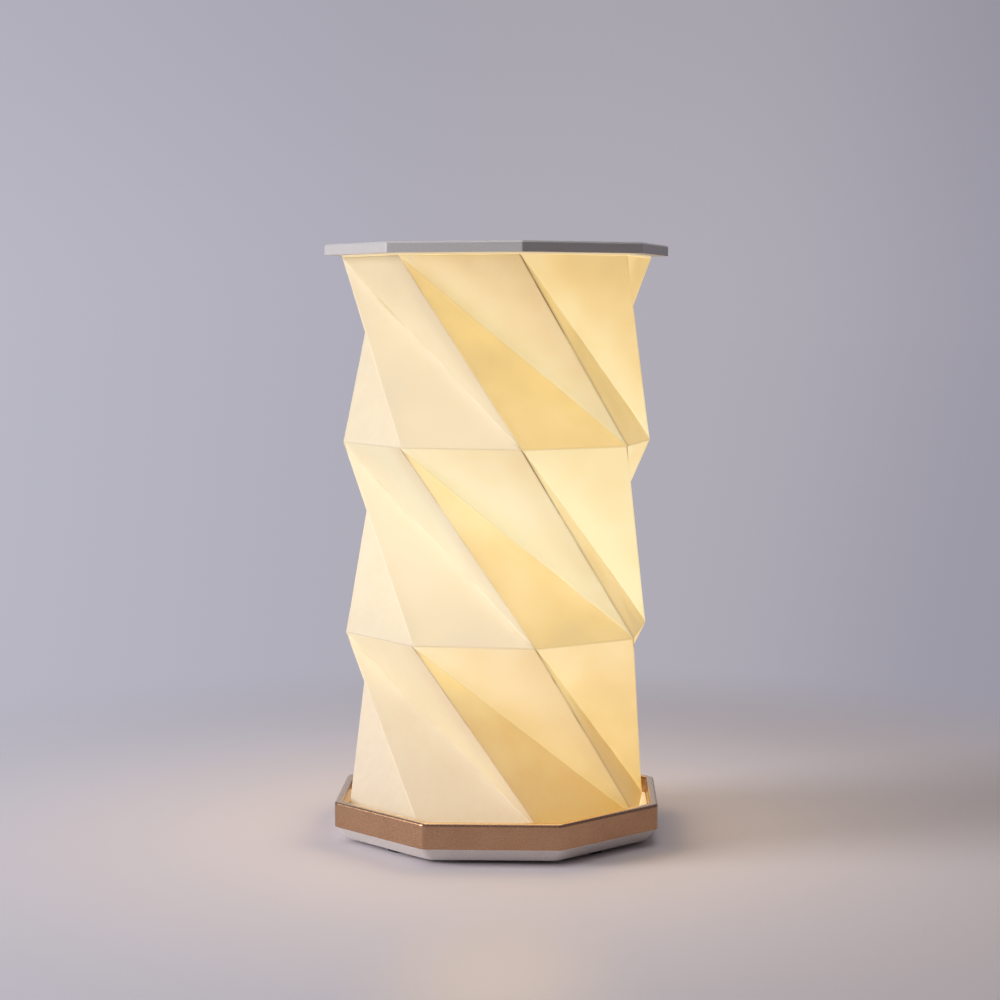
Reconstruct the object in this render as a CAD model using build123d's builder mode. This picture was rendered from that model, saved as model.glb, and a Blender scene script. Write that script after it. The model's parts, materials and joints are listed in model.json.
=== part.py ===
from build123d import *
import os
from math import cos, hypot, radians, sin

# Folding paper table lamp: a flat octagonal top plate, an octagonal paper shade folded in three
# twisting tiers, and a shallow octagonal tray base that holds the light and a rechargeable cell.
# Millimetres, +Z up, the table at z = 0 under the centre of the base. The base has a flat side
# towards -Y; its service side, with the charging socket and the power button, faces +Y.
# An octagon's radius is measured to its corners.

os.makedirs("parts", exist_ok=True)

# ---------------------------------------------------------------- driving dimensions
SIDES = 8
SIDE_ANGLE = 360 / SIDES
FIRST_CORNER = SIDE_ANGLE / 2          # a corner of the base, anticlockwise from +X

# Shade: rings where the tiers meet, from the tray up
RING_RADIUS = 60.0
RING_Z = (10.4, 80.1, 152.9, 223.4)
RING_TURN = (-4.2, -7.2, -12.2, -12.9)  # turn of each ring from the base, as the open paper relaxes
PAPER = 0.35
CREASE_GAP = 0.15                      # half of the gap at a ring and at a valley crease
MOUNTAIN_INSET = 0.52                  # the same at a mountain crease, where the inner faces close in
STRIP_INSET = 0.40                     # a facet starts this far into its strip
STRIP_HEIGHT = 1.2                     # strip along a ring that joins its eight facets
APEX_TRIM = 3.0                        # cut off a facet's point, short of the far ring's strip
FLANGE_WIDTH = 6.0                     # glue flange at each end of the shade

# Base
BASE_RADIUS = 66.8
FOOT_HEIGHT = 1.5
SEAM_Z = 6.5                           # the rim stands on the lower shell here
RIM_TOP = 16.2
RIM_WALL = 3.0
RIM_CORNER = 4.0                       # rounding of the upright corners
RIM_EDGE = 1.2                         # rounding of the top outer edge
RIM_INNER_EDGE = 0.4
DECK_TOP = 9.8
DECK_THICK = 1.4
DECK_PLAY = 0.3                        # corner gap round the deck
SHELL_TOP_RADIUS = 66.2
SHELL_FOOT_RADIUS = 62.0
SHELL_FLOOR = 1.5
SHELL_WALL = 2.0
SHELL_EDGE = 0.6                       # chamfer round the shell's foot
GROOVE_FOOT_RADIUS = 61.3              # outer side of the shell's groove, at the floor
TONGUE_RADIUS = 59.8                   # inner wall of the shell, inside the rim's ledge
TONGUE_WALL = 1.6
TONGUE_GAP = 0.2                       # from the tongue up to the deck
LEDGE_RADIUS = 60.0                    # inner edge of the rim's ledge
SKIRT_RADIUS = 62.2                    # skirt under the ledge, in the shell's groove
SKIRT_BOTTOM = 4.6

# Top
PLATE_RADIUS = 66.8
PLATE_BOTTOM = 224.2
PLATE_TOP = 228.2
PLATE_SKIN = 1.0
PLATE_CORNER = 1.5
PLATE_EDGE = 0.6                       # chamfer round the top face
PLATE_RIB = 1.2
PLATE_LIP = 2.5                        # ledge that the reflector's edge rests on
PLATE_MAGNET_WALL = 1.6                # round the upper magnet
REFLECTOR_RADIUS = 61.4
REFLECTOR_THICK = 1.2
REFLECTOR_PLAY = 0.2
REFLECTOR_SCREW_COUNT = 4
REFLECTOR_SCREW_CIRCLE = 34.0
REFLECTOR_SCREW_HEAD = (1.7, 0.5)      # radius, height
REFLECTOR_SCREW_RADIUS = 0.8
REFLECTOR_SCREW_LENGTH = 2.7
REFLECTOR_BOSS_RADIUS = 3.2

# Feet and case screws, on the centres of four sides. Pads and bosses are octagons like the lamp,
# and a screw's shank is a plain octagonal bar in place of its thread.
FOOT_COUNT = 4
FOOT_CIRCLE = 49.0
FOOT_RADIUS = 6.2
FOOT_RECESS = 0.4
FOOT_EDGE = 0.4
FOOT_PLAY = 0.1                        # round a pad in its recess
SCREW_HEAD = (2.1, 1.3)                # radius, height
SCREW_RADIUS = 1.05
SCREW_TIP = 8.2
SCREW_PLAY = 0.2                       # round a screw where it passes through
SCREW_BITE = 0.02                      # round a screw where it holds
SCREW_END_GAP = 0.2                    # from a screw's tip to the end of its hole
SCREW_SINK = 0.1                       # from a screw's head to the pad under it
BOSS_GAP = 0.1                         # between a shell boss and its deck boss
SHELL_BOSS = (4.2, 2.0)
DECK_BOSS_RADIUS = 3.2

# Light
BOARD_RADIUS = 22.0
BOARD_THICK = 1.0
BOARD_HOLE_PLAY = 0.1                  # round a screw in a circuit board
CHIP_CIRCLE = 13.0
CHIP_COUNT = 12
CHIP_SIZE = (3.5, 2.8, 0.8)            # along the circle, across it, up
CHIP_EDGE = 0.2
CAP_RADIUS = 20.0
CAP_TOP = 14.6
CAP_WALL = 1.2
CAP_CHAMFER = 1.8
CAP_FLANGE = 22.5
CAP_FLANGE_THICK = 0.8
COLLAR_WALL = 1.4
COLLAR_PLAY = 0.1
LIGHT_HOLE = 17.5
MAGNET_RADIUS = 5.0
MAGNET_THICK = 3.0
MAGNET_PLAY = 0.1                      # round a magnet in its seat
MAGNET_CUP_WALL = 1.2                  # cup that holds the lower magnet under the cap
LIGHT_SCREW_COUNT = 3
LIGHT_SCREW_START = 30.0
LIGHT_SCREW_CIRCLE = 18.6
LIGHT_SCREW_HEAD = (1.4, 0.8)          # radius, height
LIGHT_SCREW_RADIUS = 0.8
LIGHT_SCREW_GRIP = 1.0                 # its length in the deck

# Cell
CELL = (60.0, 70.0, 3.0)
CELL_Y = -8.0
CELL_PAD = 0.3
CELL_PAD_INSET = 8.0
CELL_CORNER = 2.0
CELL_EDGE = 0.8
CELL_FRAME = (0.6, 2.4, 1.2)           # inner play, outer margin and height of the ribs round it

# Control board and what stands on it, behind the service side
SERVICE_HALF = 20.0                    # half width of the cleared space
SERVICE_DEPTH = 8.0
CONTROL = (39.0, 16.2, 0.8)
CONTROL_EDGE_Y = 57.2                  # edge of the board towards the service side
CONTROL_Z = 3.95
CONTROL_POSTS = ((-15, 44), (15, 44))
CONTROL_POST_RADIUS = 2.4
CONTROL_SCREW_HEAD = (1.9, 1.2)        # radius, height
CONTROL_SCREW_RADIUS = 1.0
LOW_CHIPS = ((-5, 47, 4, 4), (2, 47, 3, 3), (8, 48.4, 2, 1.2), (8, 45.8, 2, 1.2))  # x, y, width, depth
LOW_CHIP_HEIGHT = 0.9
TALL_CHIPS = ((-10.5, 47, 4, 4), (0, 42.8, 6, 3))   # coil, and the connector of the cell's leads
TALL_CHIP_HEIGHT = 2.4
PORT_Z = 6.45                          # height of the socket, button and indicator
SLOT_START = 2.0                       # the slots are cut from this far outside the service side
SLOT_DEPTH = 12.0
SOCKET = (8.94, 7.35, 3.26)            # width, depth, height
SOCKET_CORNER = 1.55
SOCKET_WALL = 0.3
SOCKET_BACK = 0.8
SOCKET_TONGUE = (6.7, 0.7, 0.7)        # width, thickness, distance behind the mouth
SOCKET_MOUTH_Y = 60.9
SOCKET_SLOT = (9.6, 3.8, 1.85)          # width, height, corner radius; so below
BUTTON_X = -13.0
BUTTON_CAP = (7.0, 2.6, 0.95)
BUTTON_SLOT = (7.6, 3.2, 1.2)
BUTTON_FLANGE = (9.0, 3.3, 0.8)
BUTTON_FLANGE_THICK = 0.8
BUTTON_PROUD = 0.5
BUTTON_EDGE = 0.35
BUTTON_BACK_Y = 56.5
SWITCH_BODY = (6.0, 3.6, 3.0)
SWITCH_Y = 53.2
SWITCH_PLUNGER = (2.6, 1.2, 0.9)
INDICATOR_X = 10.5
INDICATOR_RADIUS = 1.0
INDICATOR_HOLE = 1.3
INDICATOR_FOOT = (3.0, 2.9, 1.5)
INDICATOR_BACK_Y = 54.5

# Leads: pairs of thin wires, each from end to end
WIRE_RADIUS = 0.45
WIRE_BEND = 2.5
CELL_LEAD = ((4.0, 27.0, 4.9), (4.0, 31.0, 4.9), (1.2, 37.0, 5.9), (1.2, 41.3, 5.9))
LIGHT_LEAD = ((6.0, 17.6, 6.93), (6.0, 27.0, 6.93), (6.0, 36.0, 5.6), (6.0, 42.6, 5.6))
LIGHT_LEAD_PITCH = 2.8
SOLDER_RADIUS = 0.8

# ---------------------------------------------------------------- worked-out values
APOTHEM = cos(radians(SIDE_ANGLE / 2))          # side distance over corner distance
RIM_INNER_RADIUS = BASE_RADIUS - RIM_WALL / APOTHEM
RIM_INNER_CORNER = RIM_CORNER - RIM_WALL / 2
RIM_FACE_Y = BASE_RADIUS * APOTHEM
RECESS_Y = RIM_INNER_RADIUS * APOTHEM
DECK_BOTTOM = DECK_TOP - DECK_THICK
SHELL_FLOOR_TOP = FOOT_HEIGHT + SHELL_FLOOR
TONGUE_TOP = DECK_BOTTOM - TONGUE_GAP
BOARD_BOTTOM = DECK_BOTTOM - BOARD_THICK
CAP_INNER_RADIUS = CAP_RADIUS - CAP_WALL / APOTHEM
CAP_INNER_TOP = CAP_TOP - CAP_WALL
CONTROL_TOP = CONTROL_Z + CONTROL[2]
SLOTS_Y = RIM_FACE_Y + SLOT_START
PLATE_TURN = RING_TURN[-1]
REFLECTOR_TOP = PLATE_BOTTOM + REFLECTOR_THICK
POCKET_DEPTH = PLATE_TOP - PLATE_SKIN - REFLECTOR_TOP
FOOT_ANGLE = SIDE_ANGLE                          # first foot; the others a quarter turn apart
HEAD_SEAT = FOOT_HEIGHT + FOOT_RECESS + SCREW_HEAD[1] + SCREW_SINK


def ring_corner(ring, index):
    """Corner of a ring; the index runs anticlockwise seen from above."""
    angle = radians(FIRST_CORNER + RING_TURN[ring] + SIDE_ANGLE * index)
    return Vector(RING_RADIUS * cos(angle), RING_RADIUS * sin(angle), RING_Z[ring])


def octagon(radius, turn=0.0, mode=Mode.ADD):
    """Octagon in the running sketch, turned from the base's own position."""
    RegularPolygon(radius=radius, side_count=SIDES, rotation=FIRST_CORNER + turn, mode=mode)


def foot_places():
    return PolarLocations(FOOT_CIRCLE, FOOT_COUNT, start_angle=FOOT_ANGLE)


def light_screw_places():
    return PolarLocations(LIGHT_SCREW_CIRCLE, LIGHT_SCREW_COUNT, start_angle=LIGHT_SCREW_START)


def reflector_screw_places():
    return PolarLocations(REFLECTOR_SCREW_CIRCLE, REFLECTOR_SCREW_COUNT, start_angle=PLATE_TURN)


def finish(part, name):
    """Label a piece, write it and report it."""
    part.label = name
    export_step(part, f"parts/{name}.step")
    print(f"{name:24s} {len(part.solids()):3d} solids {part.volume / 1000:8.3f} cm3")


# ---------------------------------------------------------------- base: rim, shell, feet, screws
with BuildSketch(Plane.XZ.offset(-SLOTS_Y)) as service_slots:
    # socket slot, button slot and indicator hole, through the wall of the service side
    with Locations((0, PORT_Z)):
        RectangleRounded(*SOCKET_SLOT)
    with Locations((BUTTON_X, PORT_Z)):
        RectangleRounded(*BUTTON_SLOT)
    with Locations((INDICATOR_X, PORT_Z)):
        Circle(INDICATOR_HOLE)

with BuildSketch(Plane.XY.offset(SHELL_FLOOR_TOP)) as service_space:
    # cleared space behind the service side, for the control board and what stands on it
    with Locations((0, RECESS_Y)):
        Rectangle(2 * SERVICE_HALF, SERVICE_DEPTH, align=(Align.CENTER, Align.MAX))

with BuildPart() as base_rim:
    with BuildSketch(Plane.XY.offset(SEAM_Z)):
        octagon(BASE_RADIUS)
    extrude(amount=RIM_TOP - SEAM_Z)
    fillet(base_rim.edges().filter_by(Axis.Z), radius=RIM_CORNER)
    fillet(base_rim.faces().sort_by(Axis.Z)[-1].edges(), radius=RIM_EDGE)
    # the skirt drops into the shell's groove
    with BuildSketch(Plane.XY.offset(SKIRT_BOTTOM)):
        octagon(SKIRT_RADIUS)
    extrude(amount=SEAM_Z - SKIRT_BOTTOM)
    # the tray recess, down to the ledge that carries the deck
    with BuildSketch(Plane.XY.offset(RIM_TOP)) as recess:
        octagon(RIM_INNER_RADIUS)
        fillet(recess.vertices(), radius=RIM_INNER_CORNER)
    extrude(amount=-(RIM_TOP - DECK_BOTTOM), mode=Mode.SUBTRACT)
    with BuildSketch(Plane.XY.offset(SKIRT_BOTTOM)):
        octagon(LEDGE_RADIUS)
    extrude(amount=DECK_BOTTOM - SKIRT_BOTTOM, mode=Mode.SUBTRACT)
    chamfer(base_rim.faces().sort_by(Axis.Z)[-1].inner_wires().edges(), length=RIM_INNER_EDGE)
    extrude(service_space.sketch, amount=DECK_BOTTOM - SHELL_FLOOR_TOP, mode=Mode.SUBTRACT)
    extrude(service_slots.sketch, amount=SLOT_DEPTH, mode=Mode.SUBTRACT)
finish(base_rim.part, "base_rim")

with BuildPart() as base_shell:
    # flared outer wall
    with BuildSketch(Plane.XY.offset(FOOT_HEIGHT)) as shell_foot:
        octagon(SHELL_FOOT_RADIUS)
        fillet(shell_foot.vertices(), radius=RIM_CORNER)
    with BuildSketch(Plane.XY.offset(SEAM_Z)) as shell_top:
        octagon(SHELL_TOP_RADIUS)
        fillet(shell_top.vertices(), radius=RIM_CORNER)
    loft()
    chamfer(base_shell.faces().sort_by(Axis.Z)[0].edges(), length=SHELL_EDGE)
    # groove for the rim's skirt
    with BuildSketch(Plane.XY.offset(SHELL_FLOOR_TOP)):
        octagon(GROOVE_FOOT_RADIUS)
    with BuildSketch(Plane.XY.offset(SEAM_Z)):
        octagon(SHELL_TOP_RADIUS - SHELL_WALL)
    loft(mode=Mode.SUBTRACT)
    # tongue inside the ledge
    with BuildSketch(Plane.XY.offset(SHELL_FLOOR_TOP)):
        octagon(TONGUE_RADIUS)
        octagon(TONGUE_RADIUS - TONGUE_WALL, mode=Mode.SUBTRACT)
    extrude(amount=TONGUE_TOP - SHELL_FLOOR_TOP)
    extrude(service_space.sketch, amount=DECK_BOTTOM - SHELL_FLOOR_TOP, mode=Mode.SUBTRACT)
    # frame of low ribs round the cell
    with BuildSketch(Plane.XY.offset(SHELL_FLOOR_TOP)):
        with Locations((0, CELL_Y)):
            Rectangle(CELL[0] + CELL_FRAME[1], CELL[1] + CELL_FRAME[1])
            Rectangle(CELL[0] + CELL_FRAME[0], CELL[1] + CELL_FRAME[0], mode=Mode.SUBTRACT)
    extrude(amount=CELL_FRAME[2])
    # posts under the control board
    with BuildSketch(Plane.XY.offset(SHELL_FLOOR_TOP)):
        with Locations(*CONTROL_POSTS):
            octagon(CONTROL_POST_RADIUS)
    extrude(amount=CONTROL_Z - SHELL_FLOOR_TOP)
    # bosses for the case screws, each over a foot
    with BuildSketch(Plane.XY.offset(SHELL_FLOOR_TOP)):
        with foot_places():
            octagon(SHELL_BOSS[0])
    extrude(amount=SHELL_BOSS[1])
    with BuildSketch(Plane.XY.offset(FOOT_HEIGHT)):
        with foot_places():
            octagon(FOOT_RADIUS + FOOT_PLAY)
    extrude(amount=FOOT_RECESS, mode=Mode.SUBTRACT)
    with BuildSketch(Plane.XY.offset(FOOT_HEIGHT)):
        with foot_places():
            Circle(SCREW_HEAD[0] + SCREW_PLAY)
    extrude(amount=HEAD_SEAT - FOOT_HEIGHT, mode=Mode.SUBTRACT)
    with BuildSketch(Plane.XY.offset(FOOT_HEIGHT)):
        with foot_places():
            octagon(SCREW_RADIUS + SCREW_PLAY)
    extrude(amount=SHELL_FLOOR + SHELL_BOSS[1], mode=Mode.SUBTRACT)
    extrude(service_slots.sketch, amount=SLOT_DEPTH, mode=Mode.SUBTRACT)
finish(base_shell.part, "base_shell")

with BuildPart() as foot_pads:
    with BuildSketch():
        with foot_places():
            octagon(FOOT_RADIUS)
    extrude(amount=FOOT_HEIGHT + FOOT_RECESS)
    chamfer(foot_pads.edges().group_by(Axis.Z)[0], length=FOOT_EDGE)
finish(foot_pads.part, "foot_pads")

with BuildPart() as case_screws:
    with BuildSketch(Plane.XY.offset(HEAD_SEAT)):
        with foot_places():
            Circle(SCREW_HEAD[0])
    extrude(amount=-SCREW_HEAD[1])
    with BuildSketch(Plane.XY.offset(HEAD_SEAT)):
        with foot_places():
            octagon(SCREW_RADIUS)
    extrude(amount=SCREW_TIP - HEAD_SEAT)
finish(case_screws.part, "case_screws")

with BuildPart() as tray_deck:
    with BuildSketch(Plane.XY.offset(DECK_BOTTOM)) as deck_outline:
        octagon(RIM_INNER_RADIUS - DECK_PLAY)
        fillet(deck_outline.vertices(), radius=RIM_INNER_CORNER)
        octagon(LIGHT_HOLE, mode=Mode.SUBTRACT)
    extrude(amount=DECK_THICK)
    # collar round the light's cap
    with BuildSketch(Plane.XY.offset(DECK_TOP)):
        octagon(CAP_FLANGE + COLLAR_WALL)
        octagon(CAP_FLANGE + COLLAR_PLAY, mode=Mode.SUBTRACT)
    extrude(amount=CAP_FLANGE_THICK)
    # bosses that the case screws pull on
    with BuildSketch(Plane.XY.offset(DECK_BOTTOM)):
        with foot_places():
            octagon(DECK_BOSS_RADIUS)
    extrude(amount=-(DECK_BOTTOM - SHELL_FLOOR_TOP - SHELL_BOSS[1] - BOSS_GAP))
    with BuildSketch(Plane.XY.offset(SHELL_FLOOR_TOP)):
        with foot_places():
            octagon(SCREW_RADIUS + SCREW_BITE)
    extrude(amount=SCREW_TIP + SCREW_END_GAP - SHELL_FLOOR_TOP, mode=Mode.SUBTRACT)
    # holes for the light board's screws
    with BuildSketch(Plane.XY.offset(DECK_BOTTOM)):
        with light_screw_places():
            octagon(LIGHT_SCREW_RADIUS + SCREW_BITE)
    extrude(amount=LIGHT_SCREW_GRIP + SCREW_END_GAP, mode=Mode.SUBTRACT)
finish(tray_deck.part, "tray_deck")

# ---------------------------------------------------------------- light: board, chips, cap, magnet
with BuildPart() as light_board:
    with BuildSketch(Plane.XY.offset(BOARD_BOTTOM)):
        octagon(BOARD_RADIUS)
        with light_screw_places():
            octagon(LIGHT_SCREW_RADIUS + BOARD_HOLE_PLAY, mode=Mode.SUBTRACT)
    extrude(amount=BOARD_THICK)
finish(light_board.part, "light_board")

with BuildPart() as light_board_screws:
    with BuildSketch(Plane.XY.offset(BOARD_BOTTOM)):
        with light_screw_places():
            Circle(LIGHT_SCREW_HEAD[0])
    extrude(amount=-LIGHT_SCREW_HEAD[1])
    with BuildSketch(Plane.XY.offset(BOARD_BOTTOM)):
        with light_screw_places():
            octagon(LIGHT_SCREW_RADIUS)
    extrude(amount=BOARD_THICK + LIGHT_SCREW_GRIP)
finish(light_board_screws.part, "light_board_screws")

with BuildPart() as light_chips:
    with BuildSketch(Plane.XY.offset(DECK_BOTTOM)):
        with PolarLocations(CHIP_CIRCLE, CHIP_COUNT):
            Rectangle(CHIP_SIZE[1], CHIP_SIZE[0])
    extrude(amount=CHIP_SIZE[2])
    chamfer(light_chips.edges().group_by(Axis.Z)[-1], length=CHIP_EDGE)
finish(light_chips.part, "light_chips")

with BuildPart() as diffuser:
    # cap with a bevelled top, hollow to an even wall
    with BuildSketch(Plane.XY.offset(DECK_TOP)):
        octagon(CAP_RADIUS)
    extrude(amount=CAP_TOP - DECK_TOP)
    chamfer(diffuser.faces().sort_by(Axis.Z)[-1].edges(), length=CAP_CHAMFER)
    with BuildSketch(Plane.XY.offset(DECK_TOP)):
        octagon(CAP_FLANGE)
    extrude(amount=CAP_FLANGE_THICK)
    with BuildSketch(Plane.XY.offset(DECK_TOP)):
        octagon(CAP_INNER_RADIUS)
    with BuildSketch(Plane.XY.offset(CAP_INNER_TOP - CAP_CHAMFER)):
        octagon(CAP_INNER_RADIUS)
    loft(mode=Mode.SUBTRACT)
    with BuildSketch(Plane.XY.offset(CAP_INNER_TOP - CAP_CHAMFER)):
        octagon(CAP_INNER_RADIUS)
    with BuildSketch(Plane.XY.offset(CAP_INNER_TOP)):
        octagon(CAP_INNER_RADIUS - CAP_CHAMFER)
    loft(mode=Mode.SUBTRACT)
    # cup for the magnet
    with BuildSketch(Plane.XY.offset(CAP_INNER_TOP)):
        Circle(MAGNET_RADIUS + MAGNET_CUP_WALL)
        Circle(MAGNET_RADIUS + MAGNET_PLAY, mode=Mode.SUBTRACT)
    extrude(amount=-MAGNET_THICK)
finish(diffuser.part, "diffuser")

with BuildPart() as base_magnet:
    with BuildSketch(Plane.XY.offset(CAP_INNER_TOP)):
        Circle(MAGNET_RADIUS)
    extrude(amount=-MAGNET_THICK)
finish(base_magnet.part, "base_magnet")

# ---------------------------------------------------------------- cell, control board, leads
with BuildPart() as cell_pad:
    with BuildSketch(Plane.XY.offset(SHELL_FLOOR_TOP)):
        with Locations((0, CELL_Y)):
            Rectangle(CELL[0] - CELL_PAD_INSET, CELL[1] - CELL_PAD_INSET)
    extrude(amount=CELL_PAD)
finish(cell_pad.part, "cell_pad")

with BuildPart() as battery_cell:
    with BuildSketch(Plane.XY.offset(SHELL_FLOOR_TOP + CELL_PAD)):
        with Locations((0, CELL_Y)):
            RectangleRounded(CELL[0], CELL[1], radius=CELL_CORNER)
    extrude(amount=CELL[2])
    chamfer(battery_cell.edges().group_by(Axis.Z)[-1], length=CELL_EDGE)
    chamfer(battery_cell.edges().group_by(Axis.Z)[0], length=CELL_EDGE)
finish(battery_cell.part, "battery_cell")

with BuildPart() as control_board:
    with BuildSketch(Plane.XY.offset(CONTROL_Z)):
        with Locations((0, CONTROL_EDGE_Y)):
            Rectangle(CONTROL[0], CONTROL[1], align=(Align.CENTER, Align.MAX))
        with Locations(*CONTROL_POSTS):
            octagon(CONTROL_SCREW_RADIUS + BOARD_HOLE_PLAY, mode=Mode.SUBTRACT)
    extrude(amount=CONTROL[2])
finish(control_board.part, "control_board")

with BuildPart() as control_chips:
    for chips, height in ((LOW_CHIPS, LOW_CHIP_HEIGHT), (TALL_CHIPS, TALL_CHIP_HEIGHT)):
        with BuildSketch(Plane.XY.offset(CONTROL_TOP)):
            for x, y, width, depth in chips:
                with Locations((x, y)):
                    Rectangle(width, depth)
        extrude(amount=height)
finish(control_chips.part, "control_chips")

with BuildPart() as board_screws:
    with BuildSketch(Plane.XY.offset(CONTROL_TOP)):
        with Locations(*CONTROL_POSTS):
            Circle(CONTROL_SCREW_HEAD[0])
    extrude(amount=CONTROL_SCREW_HEAD[1])
    with BuildSketch(Plane.XY.offset(CONTROL_TOP)):
        with Locations(*CONTROL_POSTS):
            octagon(CONTROL_SCREW_RADIUS)
    extrude(amount=-CONTROL[2])
finish(board_screws.part, "board_screws")

with BuildPart() as charging_socket:
    with BuildSketch(Plane.XZ.offset(-SOCKET_MOUTH_Y)):
        with Locations((0, PORT_Z)):
            RectangleRounded(SOCKET[0], SOCKET[2], SOCKET_CORNER)
    extrude(amount=SOCKET[1])
    with BuildSketch(Plane.XZ.offset(-SOCKET_MOUTH_Y)):
        with Locations((0, PORT_Z)):
            RectangleRounded(
                SOCKET[0] - 2 * SOCKET_WALL,
                SOCKET[2] - 2 * SOCKET_WALL,
                SOCKET_CORNER - SOCKET_WALL,
            )
    extrude(amount=SOCKET[1] - SOCKET_BACK, mode=Mode.SUBTRACT)
    # contact tongue
    with BuildSketch(Plane.XZ.offset(-SOCKET_MOUTH_Y + SOCKET_TONGUE[2])):
        with Locations((0, PORT_Z)):
            Rectangle(*SOCKET_TONGUE[:2])
    extrude(amount=SOCKET[1] - SOCKET_TONGUE[2] - SOCKET_BACK / 2)
finish(charging_socket.part, "charging_socket")

with BuildPart() as button_switch:
    with BuildSketch(Plane.XY.offset(CONTROL_TOP)):
        with Locations((BUTTON_X, SWITCH_Y)):
            Rectangle(*SWITCH_BODY[:2])
    extrude(amount=SWITCH_BODY[2])
    with BuildSketch(Plane.XZ.offset(-SWITCH_Y - SWITCH_BODY[1] / 2)):
        with Locations((BUTTON_X, PORT_Z)):
            Rectangle(*SWITCH_PLUNGER[:2])
    extrude(amount=-SWITCH_PLUNGER[2])
finish(button_switch.part, "button_switch")

with BuildPart() as power_button:
    with BuildSketch(Plane.XZ.offset(-BUTTON_BACK_Y)):
        with Locations((BUTTON_X, PORT_Z)):
            RectangleRounded(*BUTTON_FLANGE)
    extrude(amount=-BUTTON_FLANGE_THICK)
    with BuildSketch(Plane.XZ.offset(-BUTTON_BACK_Y)):
        with Locations((BUTTON_X, PORT_Z)):
            RectangleRounded(*BUTTON_CAP)
    extrude(amount=-(RIM_FACE_Y + BUTTON_PROUD - BUTTON_BACK_Y))
    chamfer(power_button.faces().sort_by(Axis.Y)[-1].edges(), length=BUTTON_EDGE)
finish(power_button.part, "power_button")

with BuildPart() as indicator_pipe:
    with BuildSketch(Plane.XZ.offset(-INDICATOR_BACK_Y)):
        with Locations((INDICATOR_X, PORT_Z)):
            Circle(INDICATOR_RADIUS)
    extrude(amount=-(RIM_FACE_Y - INDICATOR_BACK_Y))
    with BuildSketch(Plane.XZ.offset(-INDICATOR_BACK_Y)):
        with Locations((INDICATOR_X, CONTROL_TOP)):
            Rectangle(*INDICATOR_FOOT[:2], align=(Align.CENTER, Align.MIN))
    extrude(amount=-INDICATOR_FOOT[2])
finish(indicator_pipe.part, "indicator_pipe")


def wire(route):
    """A thin wire along a route of straight runs and bends."""
    with BuildPart() as made:
        with BuildLine() as path:
            FilletPolyline(*route, radius=WIRE_BEND)
        with BuildSketch(Plane(origin=path.line @ 0, z_dir=path.line % 0)):
            octagon(WIRE_RADIUS)
        sweep()
    return made.part


def solder(x, y, low, high):
    """Blob of solder round a wire's end."""
    with BuildPart() as made:
        with BuildSketch(Plane.XY.offset(low)):
            with Locations((x, y)):
                octagon(SOLDER_RADIUS)
        extrude(amount=high - low)
    return made.part


# the cell's two leads, mirrored, from its end to the connector on the control board
with BuildPart() as cell_leads:
    add(wire(CELL_LEAD))
    mirror(about=Plane.YZ)
finish(cell_leads.part, "cell_leads")

# the light's two leads, from under the light board to the top of the control board
with BuildPart() as light_leads:
    for shift in (0, LIGHT_LEAD_PITCH):
        route = [(x + shift, y, z) for x, y, z in LIGHT_LEAD]
        start, end = route[0], route[-1]
        add(wire(route))
        add(solder(start[0], start[1], start[2] - WIRE_RADIUS, BOARD_BOTTOM))
        add(solder(end[0], end[1], CONTROL_TOP, end[2] + WIRE_RADIUS))
finish(light_leads.part, "light_leads")


# ---------------------------------------------------------------- shade: facets, rings, flanges
def facet_outline(span, apex_x, apex_y, left_gap, right_gap):
    """Facet drawn with its ring edge along x: inset from its creases, and its point cut off."""
    side = 1 if apex_y > 0 else -1
    left_inset = left_gap * hypot(apex_x, apex_y) / abs(apex_y)
    right_inset = right_gap * hypot(apex_x - span, apex_y) / abs(apex_y)

    def left(y):
        return apex_x * y / apex_y + left_inset

    def right(y):
        return span + (apex_x - span) * y / apex_y - right_inset

    near = side * STRIP_INSET
    far = apex_y - side * APEX_TRIM
    return [(left(near), near), (right(near), near), (right(far), far), (left(far), far)]


def facet_plane(first, second, apex):
    """Plane of a facet that stands on the ring edge from first to second, facing outwards."""
    normal = (second - first).cross(apex - first)
    middle = (first + second) / 2
    if normal.dot(Vector(middle.X, middle.Y, 0)) < 0:
        normal = -normal
    return Plane(origin=first, x_dir=second - first, z_dir=normal)


def ring_of_facets(ring, apex_ring, apex_step, upwards):
    """Eight flat paper triangles on one ring, joined by a narrow strip along it."""
    side = 1 if upwards else -1
    # a rising facet has its mountain crease on the left, a hanging one on the right
    gaps = (MOUNTAIN_INSET, CREASE_GAP) if upwards else (CREASE_GAP, MOUNTAIN_INSET)
    with BuildPart() as facets:
        with BuildSketch(Plane.XY.offset(RING_Z[ring] + side * CREASE_GAP)):
            octagon(RING_RADIUS, RING_TURN[ring])
            octagon(RING_RADIUS - PAPER / APOTHEM, RING_TURN[ring], mode=Mode.SUBTRACT)
        extrude(amount=side * STRIP_HEIGHT)
        for k in range(SIDES):
            first, second = ring_corner(ring, k), ring_corner(ring, k + 1)
            apex = ring_corner(apex_ring, k + apex_step)
            plane = facet_plane(first, second, apex)
            tip = plane.to_local_coords(apex)
            with BuildSketch(plane):
                with BuildLine():
                    Polyline(
                        *facet_outline((second - first).length, tip.X, tip.Y, *gaps), close=True
                    )
                make_face()
            extrude(amount=-PAPER)
    return facets.part


for tier in (1, 2, 3):
    # facets that stand on the lower ring; each leans back to the upper corner before it
    rising_facets = ring_of_facets(tier - 1, tier, -1, upwards=True)
    finish(rising_facets, f"shade_{tier}_rising_facets")
    # facets that hang from the upper ring; each runs down to the lower corner two on
    hanging_facets = ring_of_facets(tier, tier - 1, 2, upwards=False)
    finish(hanging_facets, f"shade_{tier}_hanging_facets")

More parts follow.
